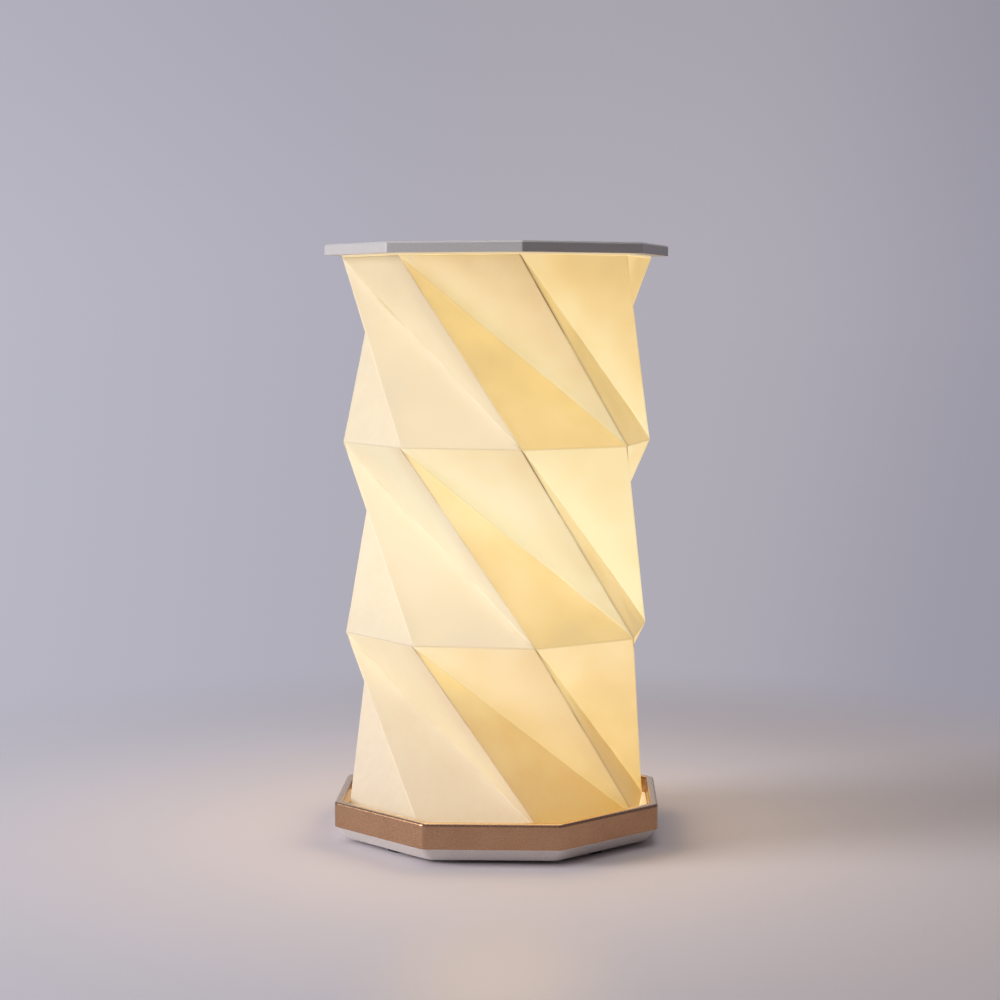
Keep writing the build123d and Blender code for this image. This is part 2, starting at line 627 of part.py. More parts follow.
with BuildPart() as shade_bottom_flange:
    with BuildSketch(Plane.XY.offset(DECK_TOP)):
        octagon(RING_RADIUS, RING_TURN[0])
        octagon(RING_RADIUS - FLANGE_WIDTH, RING_TURN[0], mode=Mode.SUBTRACT)
    extrude(amount=RING_Z[0] + CREASE_GAP - DECK_TOP)
finish(shade_bottom_flange.part, "shade_bottom_flange")

with BuildPart() as shade_top_flange:
    with BuildSketch(Plane.XY.offset(RING_Z[-1] + CREASE_GAP)):
        octagon(RING_RADIUS, RING_TURN[-1])
        octagon(RING_RADIUS - FLANGE_WIDTH, RING_TURN[-1], mode=Mode.SUBTRACT)
    extrude(amount=PLATE_BOTTOM - RING_Z[-1] - CREASE_GAP)
finish(shade_top_flange.part, "shade_top_flange")

# ---------------------------------------------------------------- top: plate, reflector, magnet
with BuildPart() as top_plate:
    with BuildSketch(Plane.XY.offset(PLATE_BOTTOM)) as plate_outline:
        octagon(PLATE_RADIUS, PLATE_TURN)
        fillet(plate_outline.vertices(), radius=PLATE_CORNER)
    extrude(amount=PLATE_TOP - PLATE_BOTTOM)
    chamfer(top_plate.faces().sort_by(Axis.Z)[-1].edges(), length=PLATE_EDGE)
    # recess for the reflector
    with BuildSketch(Plane.XY.offset(PLATE_BOTTOM)):
        octagon(REFLECTOR_RADIUS + REFLECTOR_PLAY, PLATE_TURN)
    extrude(amount=REFLECTOR_THICK, mode=Mode.SUBTRACT)
    # pocket behind it, with screw bosses, crossed ribs and a magnet seat left standing
    with BuildSketch(Plane.XY.offset(REFLECTOR_TOP)):
        octagon(REFLECTOR_RADIUS - PLATE_LIP, PLATE_TURN)
        with reflector_screw_places():
            octagon(REFLECTOR_BOSS_RADIUS, mode=Mode.SUBTRACT)
        Rectangle(2 * REFLECTOR_RADIUS, PLATE_RIB, mode=Mode.SUBTRACT, rotation=PLATE_TURN)
        Rectangle(PLATE_RIB, 2 * REFLECTOR_RADIUS, mode=Mode.SUBTRACT, rotation=PLATE_TURN)
        Circle(MAGNET_RADIUS + PLATE_MAGNET_WALL, mode=Mode.SUBTRACT)
    extrude(amount=POCKET_DEPTH, mode=Mode.SUBTRACT)
    with BuildSketch(Plane.XY.offset(REFLECTOR_TOP)):
        Circle(MAGNET_RADIUS + MAGNET_PLAY)
    extrude(amount=POCKET_DEPTH, mode=Mode.SUBTRACT)
    with BuildSketch(Plane.XY.offset(REFLECTOR_TOP)):
        with reflector_screw_places():
            octagon(REFLECTOR_SCREW_RADIUS + SCREW_BITE)
    extrude(amount=REFLECTOR_SCREW_LENGTH - REFLECTOR_THICK + SCREW_END_GAP, mode=Mode.SUBTRACT)
finish(top_plate.part, "top_plate")

with BuildPart() as top_reflector:
    with BuildSketch(Plane.XY.offset(PLATE_BOTTOM)):
        octagon(REFLECTOR_RADIUS, PLATE_TURN)
        with reflector_screw_places():
            octagon(REFLECTOR_SCREW_RADIUS + SCREW_PLAY, mode=Mode.SUBTRACT)
    extrude(amount=REFLECTOR_THICK)
finish(top_reflector.part, "top_reflector")

with BuildPart() as reflector_screws:
    with BuildSketch(Plane.XY.offset(PLATE_BOTTOM)):
        with reflector_screw_places():
            Circle(REFLECTOR_SCREW_HEAD[0])
    extrude(amount=-REFLECTOR_SCREW_HEAD[1])
    with BuildSketch(Plane.XY.offset(PLATE_BOTTOM)):
        with reflector_screw_places():
            octagon(REFLECTOR_SCREW_RADIUS)
    extrude(amount=REFLECTOR_SCREW_LENGTH)
finish(reflector_screws.part, "reflector_screws")

with BuildPart() as top_magnet:
    with BuildSketch(Plane.XY.offset(REFLECTOR_TOP)):
        Circle(MAGNET_RADIUS)
    extrude(amount=POCKET_DEPTH)
finish(top_magnet.part, "top_magnet")
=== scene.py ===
"""Looks of the folding paper table lamp: paper shade, finishes, light, floor and camera, in metres."""

import json
import math
from types import SimpleNamespace

import bmesh
import bpy
from mathutils import Matrix, Vector, noise

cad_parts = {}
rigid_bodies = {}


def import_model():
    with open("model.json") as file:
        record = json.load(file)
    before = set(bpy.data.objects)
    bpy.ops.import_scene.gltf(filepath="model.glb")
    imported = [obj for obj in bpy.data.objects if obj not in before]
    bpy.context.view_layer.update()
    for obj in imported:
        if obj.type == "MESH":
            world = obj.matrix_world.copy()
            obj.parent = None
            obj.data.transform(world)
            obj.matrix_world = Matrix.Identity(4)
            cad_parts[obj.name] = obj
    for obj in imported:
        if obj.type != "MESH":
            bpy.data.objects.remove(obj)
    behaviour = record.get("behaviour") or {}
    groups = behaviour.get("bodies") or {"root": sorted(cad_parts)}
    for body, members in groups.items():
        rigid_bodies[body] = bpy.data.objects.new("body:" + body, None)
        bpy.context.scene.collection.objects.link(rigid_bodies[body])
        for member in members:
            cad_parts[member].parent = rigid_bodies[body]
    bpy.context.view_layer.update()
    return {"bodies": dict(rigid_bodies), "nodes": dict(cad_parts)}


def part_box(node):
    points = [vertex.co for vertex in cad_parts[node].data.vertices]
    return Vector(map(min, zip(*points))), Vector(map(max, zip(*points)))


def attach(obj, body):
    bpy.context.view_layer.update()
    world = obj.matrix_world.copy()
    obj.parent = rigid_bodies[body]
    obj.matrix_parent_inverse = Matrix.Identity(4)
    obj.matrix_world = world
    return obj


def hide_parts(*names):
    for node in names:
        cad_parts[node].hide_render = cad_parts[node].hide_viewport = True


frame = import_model()

MM = 0.001

# ---------------------------------------------------------------- shape and stage
SIDES = 8
SIDE_ANGLE = math.tau / SIDES
SAME = 0.01 * MM                 # heights or reaches that differ by less are the same
WELD = 0.002 * MM                # points of two facets that are closer than this become one

PAPER = 0.35 * MM
FACET_STEPS = 30                 # rows of the mesh between a facet's ring edge and its point
CREASE_MARGIN = 0.7 * MM         # a facet turns into its crease over this width
BLUNT = {                        # how far a crease lies inside the line where its facets meet
    "ring": 0.10 * MM,
    "mountain": 0.11 * MM,
    "valley": -0.60 * MM,        # outside it, because the paper rounds its valleys
}
BLUNT_UNEVEN = 0.3               # share of that which comes and goes along the crease
BLUNT_UNEVEN_LENGTH = 5 * MM
CREASE_WAVE = {"ring": 0.10 * MM, "mountain": 0.12 * MM, "valley": 0.35 * MM}
CREASE_WAVE_LENGTH = 9 * MM
CREASE_END = 1 / 8               # blunting and waves fade in over this share of a crease
VALLEY_ROUNDING = 4.5 * MM       # width of the rounding on each side of a valley
VALLEY_END = 2.5 * MM            # it fades in over this distance from the facet's other edges
FACET_WAVE = 0.30 * MM           # slow unevenness of the paper
FACET_WAVE_LENGTH = 22 * MM
FACET_RIPPLE = 0.07 * MM
FACET_RIPPLE_LENGTH = 6 * MM
FACET_WAVE_END = 5 * MM          # both fade in over this distance from the facet's edges

# Light from outside: a large soft lamp low on the left, a little in front, and a soft one overhead
KEY_AZIMUTH = math.radians(-76)
KEY_ELEVATION = math.radians(16)
KEY_DISTANCE = 1.6
KEY_SIZE = 0.8
KEY_POWER = 18
TOP_HEIGHT = 1.3
TOP_SIZE = 1.3
TOP_POWER = 5.8
SOFT_LIGHT_AIM = Vector((0, 0, 0.1))
SOFT_LIGHT_COLOUR = (1.0, 0.985, 0.975)
AMBIENT = (0.098, 0.088, 0.080, 1)       # dim even light from all round
# The lamp's own light, past the paper: on the floor, the tray and the underside of the plate
GLOW_HEIGHT = 62 * MM
GLOW_RADIUS = 40 * MM
GLOW_POWER = 0.17
GLOW_COLOUR = (1.0, 0.74, 0.42)

# Camera, from the middle of the lamp's foot: to the right, in front and above; lens and sensor in mm
CAMERA_PLACE = Vector((30.24, -874.88, 204.4)) * MM
CAMERA_PAN = math.radians(1.93)
CAMERA_TILT = math.radians(4.868)
CAMERA_LENS = 81.44
CAMERA_SENSOR = 36

# Backdrop, by the direction in which it is seen: -1 is left, 1 is right. It carries a painted falloff of
# light, lighter on the left than on the right, and a little dimmer upwards
BACKDROP_LEFT = (0.487, 0.480, 0.556, 1)
BACKDROP_RIGHT = (0.315, 0.300, 0.362, 1)
BACKDROP_SIDES = (-0.26, 0.26)           # these two tones are full here
BACKDROP_MIDDLE = (0.452, 0.430, 0.474, 1)
BACKDROP_CENTRE = 0.03
BACKDROP_CENTRE_FADE = (0.02, 0.17, 0.7, 0.0)    # the middle's share, by the distance from the centre
BACKDROP_UPWARDS = (0.0, 0.16, 1.0, 0.90)        # its strength, by height
BACKDROP_VIEW = 0.8              # the floor's far part takes its tone as seen from this far

FLOOR_RADIUS = 12.0
FLOOR_ROUGHNESS = 0.7
FLOOR_SPECULAR = 0.4
# painted pool of light on the floor round the lamp, brighter than the floor further out
FLOOR_PAINTED_POOL = (0.845, 0.790, 0.860, 1)
# painted falloff of light across the floor: lighter and bluer on the left, darker and warmer on the right
FLOOR_LEFT = (0.750, 0.745, 0.870, 1)
FLOOR_RIGHT = (0.715, 0.665, 0.725, 1)
FLOOR_SIDES = (-0.22, 0.22)
POOL_FADE = (0.10, 0.27)        # from the floor's tone round the lamp to that of its edges
FLOOR_FADE = (0.24, 0.42)        # from plain floor to backdrop, by the distance from the lamp
# painted warm reflection of the lamp's glow on the floor in front of it
FLOOR_GLOW_REFLECTION = (0.965, 0.845, 0.805, 1)
GLOW_REFLECTION_PLACE = (6 * MM, -205 * MM)        # the floor has that tone here, in front of the lamp
GLOW_REFLECTION_REACH = (52 * MM, 105 * MM)  # and fades to its own this far away, sideways and to the front
# painted shadow on the floor under the base, fading to plain floor towards its flat sides
FLOOR_PAINTED_SHADOW = (0.10, 0.09, 0.09, 1)
UNDER_BASE_SHADOW = (47 * MM, 57 * MM)  # from the dark under the base to plain floor, towards its flat sides


# ---------------------------------------------------------------- node trees
class Nodes:
    """A node tree that is written from its inputs to its output."""

    def __init__(self, tree):
        self.tree = tree
        tree.nodes.clear()

    def add(self, kind, inputs=None, **settings):
        made = self.tree.nodes.new("ShaderNode" + kind)
        for key, value in settings.items():
            setattr(made, key, value)
        for key, value in (inputs or {}).items():
            self.put(value, made.inputs[key])
        return made

    def put(self, value, socket):
        if isinstance(value, bpy.types.NodeSocket):
            self.tree.links.new(value, socket)
        else:
            socket.default_value = value

    def math(self, operation, first, second=0.0):
        made = self.add("Math", operation=operation)
        self.put(first, made.inputs[0])
        self.put(second, made.inputs[1])
        return made.outputs[0]

    def times(self, product, *factors):
        for factor in factors:
            product = self.math("MULTIPLY", product, factor)
        return product

    def rest(self, share):
        return self.math("SUBTRACT", 1.0, share)

    def length(self, vector):
        return self.add("VectorMath", {0: vector}, operation="LENGTH").outputs["Value"]

    def spread(self, value, low, high, to_low=0.0, to_high=1.0, smooth=True):
        """Value from low to high, mapped to to_low to to_high and held there."""
        made = self.add("MapRange", interpolation_type="SMOOTHSTEP" if smooth else "LINEAR")
        for index, number in enumerate((value, low, high, to_low, to_high)):
            self.put(number, made.inputs[index])
        return made.outputs[0]

    def mix(self, factor, first, second, blend="MIX"):
        made = self.add("Mix", data_type="RGBA", blend_type=blend)
        self.put(factor, made.inputs["Factor"])
        self.put(first, made.inputs[6])
        self.put(second, made.inputs[7])
        return made.outputs[2]

    def ramp(self, factor, stops, interpolation):
        made = self.add("ValToRGB", {"Fac": factor})
        made.color_ramp.interpolation = interpolation
        elements = made.color_ramp.elements
        while len(elements) < len(stops):
            elements.new(0.5)
        for element, (place, colour) in zip(elements, stops):
            element.position = place
            element.color = (*colour, 1)
        return made.outputs["Color"]

    def noise(self, vector, scale, detail=2.0, roughness=0.5):
        inputs = {"Vector": vector, "Scale": scale, "Detail": detail, "Roughness": roughness}
        return self.add("TexNoise", inputs).outputs["Fac"]

    def stretched(self, vector, scale):
        return self.add("Mapping", {"Vector": vector, "Scale": scale}).outputs["Vector"]

    def uv(self, name):
        pair = self.add("SeparateXYZ", {"Vector": self.add("UVMap", uv_map=name).outputs["UV"]})
        return pair.outputs["X"], pair.outputs["Y"]

    def bump(self, height, depth, strength=1.0):
        inputs = {"Height": height, "Distance": depth, "Strength": strength}
        return self.add("Bump", inputs).outputs["Normal"]

    def place(self):
        return self.add("TexCoord").outputs["Object"]

    def surface(self, shader, kind="OutputMaterial"):
        self.put(shader, self.add(kind).inputs["Surface"])


def material(name):
    made = bpy.data.materials.new(name)
    made.use_nodes = True
    return made, Nodes(made.node_tree)


def shader(nodes, inputs):
    nodes.surface(nodes.add("BsdfPrincipled", inputs).outputs["BSDF"])


# ---------------------------------------------------------------- the shade's rings
def ring_corners(node, top):
    """The outer corners of the octagon at a CAD node's top or bottom, anticlockwise, and its height."""
    points = [v.co for v in frame["nodes"][node].data.vertices]
    height = max(p.z for p in points) if top else min(p.z for p in points)
    level = [p for p in points if abs(p.z - height) < SAME]
    reach = max(p.xy.length for p in level)
    corner = next(p for p in level if reach - p.xy.length < SAME)
    first = math.atan2(corner.y, corner.x) % SIDE_ANGLE
    return reach, first, height


def ring(below, above):
    """Eight corners of a ring that lies between the top of one node and the bottom of another."""
    reach, first, low = ring_corners(below, top=True)
    high = ring_corners(above, top=False)[2]
    angles = [first + SIDE_ANGLE * k for k in range(SIDES)]
    height = (low + high) / 2
    return [Vector((reach * math.cos(a), reach * math.sin(a), height)) for a in angles]


rings = [
    ring("shade_bottom_flange", "shade_1_rising_facets"),
    ring("shade_1_hanging_facets", "shade_2_rising_facets"),
    ring("shade_2_hanging_facets", "shade_3_rising_facets"),
    ring("shade_3_hanging_facets", "shade_top_flange"),
]


def key_direction():
    """From the lamp to the large soft lamp."""
    level = math.cos(KEY_ELEVATION)
    return Vector((
        math.sin(KEY_AZIMUTH) * level,
        -math.cos(KEY_AZIMUTH) * level,
        math.sin(KEY_ELEVATION),
    ))


def wave(point, tier):
    """How far the paper lies off its flat facet."""
    shift = Vector((tier, 2 * tier, 3 * tier))
    slow = noise.noise((point + shift) / FACET_WAVE_LENGTH)
    quick = noise.noise((point + shift) / FACET_RIPPLE_LENGTH)
    return FACET_WAVE * slow + FACET_RIPPLE * quick


def crease_point(start, end, share, kind):
    """A point of a crease, which is blunted towards the lamp's axis or away from it and runs unevenly."""
    point = start.lerp(end, share)
    outwards = Vector((point.x, point.y, 0)).normalized()
    sideways = (end - start).cross(outwards).normalized()
    uneven = 1 + BLUNT_UNEVEN * noise.noise(point / BLUNT_UNEVEN_LENGTH)
    wander = CREASE_WAVE[kind] * noise.noise(point / CREASE_WAVE_LENGTH)
    fade = min(1.0, min(share, 1 - share) / CREASE_END)
    return point - (outwards * BLUNT[kind] * uneven - sideways * wander) * fade


class Facet:
    """One triangle of a tier: a ring edge from a to b, seen from outside left to right, and a point c."""

    def __init__(self, a, b, c, flat, kinds, upper, tier):
        self.corners = (a, b, c)
        self.flat = flat                # the same corners on the unfolded sheet
        self.kinds = kinds              # kinds of the edges ab, bc and ca
        self.upper = upper              # 1 for a corner on the upper ring, else 0
        self.tier = tier
        self.normal = (b - a).cross(c - a).normalized()
        if self.normal.dot(Vector((a.x + b.x, a.y + b.y, 0))) < 0:
            self.normal.negate()

    def mountain_way(self):
        """The direction that the facet's mountain crease faces at its middle."""
        first = self.kinds.index("mountain")
        middle = (self.corners[first] + self.corners[(first + 1) % 3]) / 2
        return Vector((middle.x, middle.y, 0)).normalized()

    def inset(self):
        """Shares of the three corners at the facet's inner triangle."""
        a, b, c = self.corners
        area = (b - a).cross(c - a).length
        sides = ((c - b).length, (a - c).length, (b - a).length)
        heights = [area / side for side in sides]
        share = [CREASE_MARGIN / height for height in heights]
        total = sum(share)
        return [
            [1 - total + share[i] if i == corner else share[i] for i in range(3)]
            for corner in range(3)
        ]

    def point(self, shares):
        return sum((c * s for c, s in zip(self.corners, shares)), Vector())

    def distances(self, shares):
        """Distance to the edges ab, bc and ca."""
        a, b, c = self.corners
        area = (b - a).cross(c - a).length
        return (
            shares[2] * area / (b - a).length,
            shares[0] * area / (c - b).length,
            shares[1] * area / (a - c).length,
        )


UV_MAPS = ("sheet", "edge", "fold", "place", "facing", "crease")


def add_facet(bm, layers, weights, facet):
    """The facet's inner triangle in rows, and a strip along each edge up to the crease."""
    steps = FACET_STEPS
    inner = facet.inset()
    grid = {}
    for i in range(steps + 1):
        for j in range(steps + 1 - i):
            mixing = (i / steps, j / steps, (steps - i - j) / steps)
            shares = [sum(m * corner[n] for m, corner in zip(mixing, inner)) for n in range(3)]
            away = facet.distances(shares)
            to_valley = away[facet.kinds.index("valley")]
            to_others = min(away[facet.kinds.index(kind)] for kind in ("ring", "mountain"))
            near = max(0.0, 1 - to_valley / VALLEY_ROUNDING)
            lift = wave(facet.point(shares), facet.tier) * min(1.0, min(away) / FACET_WAVE_END)
            lift -= BLUNT["valley"] * near**2 * min(1.0, to_others / VALLEY_END)
            grid[i, j] = (facet.point(shares) + facet.normal * lift, shares)

    def vertex(entry):
        place, shares = entry
        made = bm.verts.new(place)
        made[weights][0] = sum(s * u for s, u in zip(shares, facet.upper))
        return made, shares

    made = {key: vertex(entry) for key, entry in grid.items()}

    def face(corners):
        verts = [v for v, _ in corners]
        direction = (verts[1].co - verts[0].co).cross(verts[2].co - verts[0].co)
        if direction.dot(facet.normal) < 0:
            corners = corners[::-1]
        polygon = bm.faces.new([v for v, _ in corners])
        polygon.smooth = True
        for loop, (_, shares) in zip(polygon.loops, corners):
            write_uvs(loop, layers, facet, shares)

    for i in range(steps):
        for j in range(steps - i):
            face([made[i, j], made[i + 1, j], made[i, j + 1]])
            if i + j < steps - 1:
                face([made[i + 1, j], made[i + 1, j + 1], made[i, j + 1]])
    # rows along the inner triangle's edges, from the first corner to the second
    rows = {
        (0, 1): [made[steps - n, n] for n in range(steps + 1)],
        (1, 2): [made[0, steps - n] for n in range(steps + 1)],
        (2, 0): [made[n, 0] for n in range(steps + 1)],
    }
    for (first, second), kind in zip(rows, facet.kinds):
        start, end = facet.corners[first], facet.corners[second]
        line = []
        for n in range(steps + 1):
            share = n / steps
            shares = [0.0, 0.0, 0.0]
            shares[first], shares[second] = 1 - share, share
            # the same order from both facets, so that both get the same points
            if tuple(start) < tuple(end):
                place = crease_point(start, end, share, kind)
            else:
                place = crease_point(end, start, 1 - share, kind)
            line.append(vertex((place, shares)))
        row = rows[first, second]
        for n in range(steps):
            face([line[n], line[n + 1], row[n + 1], row[n]])


def write_uvs(loop, layers, facet, shares):
    """What the paper's material reads: all of it linear over a facet."""
    ring_edge, bc, ca = facet.distances(shares)
    mountain, valley = (bc, ca) if facet.kinds[1] == "mountain" else (ca, bc)
    point = facet.point(shares)
    flat = sum((Vector(f) * s for f, s in zip(facet.flat, shares)), Vector((0, 0)))
    top = sum(s * u for s, u in zip(shares, facet.upper))
    loop[layers["sheet"]].uv = flat
    loop[layers["edge"]].uv = (ring_edge, mountain)
    loop[layers["fold"]].uv = (valley, top)
    loop[layers["place"]].uv = (point.z, facet.tier)
    loop[layers["facing"]].uv = (facet.normal.dot(key_direction()), facet.upper[2])
    loop[layers["crease"]].uv = (facet.mountain_way().dot(key_direction()), 0)


def unfolded(lower, upper):
    """Step along a ring, and where the upper ring's corner lies over the lower one's on the flat sheet."""
    edge = (lower[1] - lower[0]).length
    mountain = (upper[-1] - lower[0]).length
    valley = (upper[-1] - lower[1]).length
    along = (mountain**2 - valley**2 + edge**2) / (2 * edge)
    return edge, Vector((along, math.sqrt(mountain**2 - along**2)))


def paper_tier(number, sheet_origin):
    """One tier of the folded sheet, from its lower ring to its upper ring."""
    lower, upper = rings[number - 1], rings[number]
    edge, rise = unfolded(lower, upper)
    mesh = bpy.data.meshes.new(f"paper_tier_{number}")
    bm = bmesh.new()
    layers = {name: bm.loops.layers.uv.new(name) for name in UV_MAPS}
    weights = bm.verts.layers.deform.verify()
    along = Vector((edge, 0))
    for k in range(SIDES):
        a, b, c = lower[k], lower[(k + 1) % SIDES], upper[(k - 1) % SIDES]
        start = sheet_origin + along * k
        flat = (start, start + along, start + rise)
        kinds = ("ring", "valley", "mountain")
        add_facet(bm, layers, weights, Facet(a, b, c, flat, kinds, (0, 0, 1), number))
        a, b, c = upper[k], upper[(k + 1) % SIDES], lower[(k + 2) % SIDES]
        start = sheet_origin + along * (k + 1) + rise
        flat = (start, start + along, sheet_origin + along * (k + 2))
        kinds = ("ring", "mountain", "valley")
        add_facet(bm, layers, weights, Facet(a, b, c, flat, kinds, (1, 1, 0), number))
    bmesh.ops.remove_doubles(bm, verts=bm.verts, dist=WELD)
    bm.to_mesh(mesh)
    bm.free()
    tier = bpy.data.objects.new(f"paper_tier_{number}", mesh)
    bpy.context.scene.collection.objects.link(tier)
    tier.vertex_groups.new(name="upper_ring")
    return tier, sheet_origin + rise


def follow_upper_ring(tier, body):
    """The upper ring goes with the body above, and the facets stretch between the two rings."""
    hook = tier.modifiers.new("upper_ring", "HOOK")
    hook.object = frame["bodies"][body]
    hook.vertex_group = "upper_ring"
    hook.falloff_type = "NONE"
    hook.matrix_inverse = Matrix.Identity(4)
    thick = tier.modifiers.new("thickness", "SOLIDIFY")
    thick.thickness = PAPER
    thick.offset = -1


# ---------------------------------------------------------------- paper
# A spread is (from, to, value at from, value at to). The level is 0 at the shade's lowest ring and 1 at
# its highest; the upper share is 1 on a tier's upper ring. Facing is how much a facet faces the outer
# light, from -1 to 1, and the crease's way is the same for the mountain crease beside it.
GLOW_BY_LEVEL = (
    (0.00, 0.42), (0.14, 0.50), (0.30, 0.61), (0.43, 0.735),
    (0.54, 0.76), (0.66, 0.68), (0.85, 0.62), (1.00, 0.51),
)
GLOW_TONES = (
    (0.30, (0.54, 0.30, 0.050)),
    (0.45, (0.66, 0.45, 0.145)),
    (0.52, (0.77, 0.52, 0.16)),
    (0.58, (0.84, 0.58, 0.21)),
    (0.70, (0.90, 0.70, 0.33)),
    (0.82, (0.93, 0.80, 0.45)),
)
# rising facets glow less, by the level, except at their points
RISING_LESS = (0.0, 1.0, 0.175, 0.12)
RISING_POINT = (0.50, 0.92, 1.0, 0.30)
# hanging facets glow more beside their valley, less so facing the outer light and at the foot
VALLEY_MORE = (0.0, 16.0 * MM, 0.10, 0.0)
VALLEY_BY_FACING = (0.35, 0.65, 1.0, 0.2)
VALLEY_BY_LEVEL = (0.2, 0.4, 0.4, 1.0)
# unevenness of the paper: scale, detail and roughness
CLOUD = (48.0, 3.0, 0.55)
MOTTLE = (260.0, 4.0, 0.6)
FIBRES = (1900.0, 2.0, 0.7)
FIBRE_STRETCH = (0.35, 1.0, 1.0)
CLOUD_GLOW = (0.3, 0.7, -0.035, 0.035)
MOTTLE_GLOW = (0.3, 0.7, -0.012, 0.012)
FIBRE_GLOW = (0.25, 0.75, -0.012, 0.012)
# rising facets are whiter where the outer light reaches them
PALE_TONE = (0.80, 0.74, 0.62, 1)
PALE_BY_FACING = ((-0.1, 0.45, 0.0, 0.28), (0.55, 0.95, 1.0, 0.4))

# glow that is left against the outer light, by facing
HANGING_LEFT = (0.05, 1.0, 0.88, 0.22)
RISING_LEFT = (-0.05, 1.0, 1.0, 0.46)
RISING_LEFT_BEHIND = (-0.8, -0.1, 0.76, 1.0)
FOOT_BY_LEVEL = (0.05, 0.33, 0.93, 1.0)
FOOT_BY_FACING = (0.0, 0.3, 1.0, 0.93)
# painted shade beside a mountain crease: a duller, darker band on hanging facets, and a shade beside it on
# rising facets
BAND_BY_WAY = (-0.8, -0.4)
BAND_WIDTH = (1.0 * MM, 13.0 * MM, 1.0, 0.0)
BAND_DIM = 0.08
BAND_TINT = 0.55
SHADE_BY_WAY = (-0.1, 0.4, 0.30, 0.06)
SHADE_WIDTH = (0.2 * MM, 4.5 * MM, 1.0, 0.0)

# painted shade: a thin dark line along a mountain crease, strongest by the upper ring and on the side away
# from the outer light
LINE_WIDTH = (0.14 * MM, 0.60 * MM, 1.0, 0.0)
LINE_BY_SHARE = (0.35, 0.80, 0.22, 1.0)
LINE_SEED = (5.3, 75.0, 2.9)             # by the crease's way, the height and the tier
LINE_BY_SEED = (0.36, 0.58, 0.12, 1.0)
LINE_BY_WAY = ((-0.1, 0.55, 1.0, 0.15), (-0.8, -0.5, 0.05, 1.0))
# short painted shade where a mountain crease leaves its upper ring, weak in the third tier
MARK_WIDTH = (0.10 * MM, 0.75 * MM, 0.8, 0.0)
MARK_BY_SHARE = (0.90, 0.985)
MARK_BY_TIER = (2.4, 2.6, 1.0, 0.3)
# faint painted shade line along the ring creases
RING_LINE_WIDTH = (0.05 * MM, 0.45 * MM, 1.0, 0.0)
RING_LINE_BY_CLOUD = (0.35, 0.65, 0.05, 0.28)
# colours of the painted crease shade, in the glow and in the paper
CREASE_SHADE_GLOW = (0.26, 0.13, 0.04, 1)
CREASE_SHADE_TONE = (0.20, 0.13, 0.07, 1)
CREASE_SHADE_SHARE = 0.5

PAPER_TONES = ((0.65, 0.625, 0.58, 1), (0.61, 0.59, 0.545, 1))
WARM_TONE = (0.64, 0.60, 0.49, 1)        # of lit hanging facets
WARM_BY_FACING = (0.40, 0.70, 0.0, 0.8)
# paper colour in the band of painted shade beside mountain creases
BAND_SHADE_TONE = (0.58, 0.50, 0.43, 1)
PAPER_BUMP = 0.03 * MM


def paper_maps(n):
    """The values that the paper's meshes carry, and the noises on the flat sheet."""
    sheet = n.add("UVMap", uv_map="sheet").outputs["UV"]
    ring_edge, mountain = n.uv("edge")
    valley, upper_share = n.uv("fold")
    height, tier = n.uv("place")
    facing, rising = n.uv("facing")
    return SimpleNamespace(
        ring_edge=ring_edge, mountain=mountain, valley=valley,      # distances from these creases
        upper_share=upper_share, height=height, tier=tier, facing=facing, way=n.uv("crease")[0],
        rising=rising, hanging=n.rest(rising),
        level=n.spread(height, rings[0][0].z, rings[3][0].z, smooth=False),
        cloud=n.noise(sheet, *CLOUD),
        mottle=n.noise(sheet, *MOTTLE),
        fibres=n.noise(n.stretched(sheet, FIBRE_STRETCH), *FIBRES),
    )


def glow_colour(n, at):
    """Brightest round the middle of the lamp and dull at its foot."""
    glow = n.ramp(at.level, [(place, (value,) * 3) for place, value in GLOW_BY_LEVEL], "EASE")
    less = n.times(
        at.rising,
        n.spread(at.level, *RISING_LESS, smooth=False),
        n.spread(at.upper_share, *RISING_POINT),
    )
    more = n.times(
        at.hanging,
        n.spread(at.valley, *VALLEY_MORE),
        n.spread(at.facing, *VALLEY_BY_FACING),
        n.spread(at.level, *VALLEY_BY_LEVEL),
    )
    glow = n.math("ADD", n.math("SUBTRACT", glow, less), more)
    for uneven, spread in ((at.cloud, CLOUD_GLOW), (at.mottle, MOTTLE_GLOW), (at.fibres, FIBRE_GLOW)):
        glow = n.math("ADD", glow, n.spread(uneven, *spread))
    colour = n.ramp(glow, GLOW_TONES, "LINEAR")
    paler = n.times(at.rising, *(n.spread(at.facing, *spread) for spread in PALE_BY_FACING))
    return n.mix(paler, colour, PALE_TONE)


def glow_left(n, at, band):
    """The glow's strength: the side that the outer light reaches glows less against it."""
    # hanging facets also glow less in the band of painted shade beside their mountain crease
    hanging = n.times(
        n.spread(at.facing, *HANGING_LEFT, smooth=False),
        n.rest(n.times(band, BAND_DIM)),
    )
    # painted shade beside the mountain crease of rising facets
    shade = n.times(n.spread(at.way, *SHADE_BY_WAY), n.spread(at.mountain, *SHADE_WIDTH))
    rising = n.times(
        n.spread(at.facing, *RISING_LEFT, smooth=False),
        n.math("MAXIMUM", n.spread(at.level, *FOOT_BY_LEVEL), n.spread(at.facing, *FOOT_BY_FACING)),
        n.spread(at.facing, *RISING_LEFT_BEHIND, smooth=False),
        n.rest(shade),
    )
    return n.add("Mix", {0: at.rising, 2: hanging, 3: rising}, data_type="FLOAT").outputs[0]


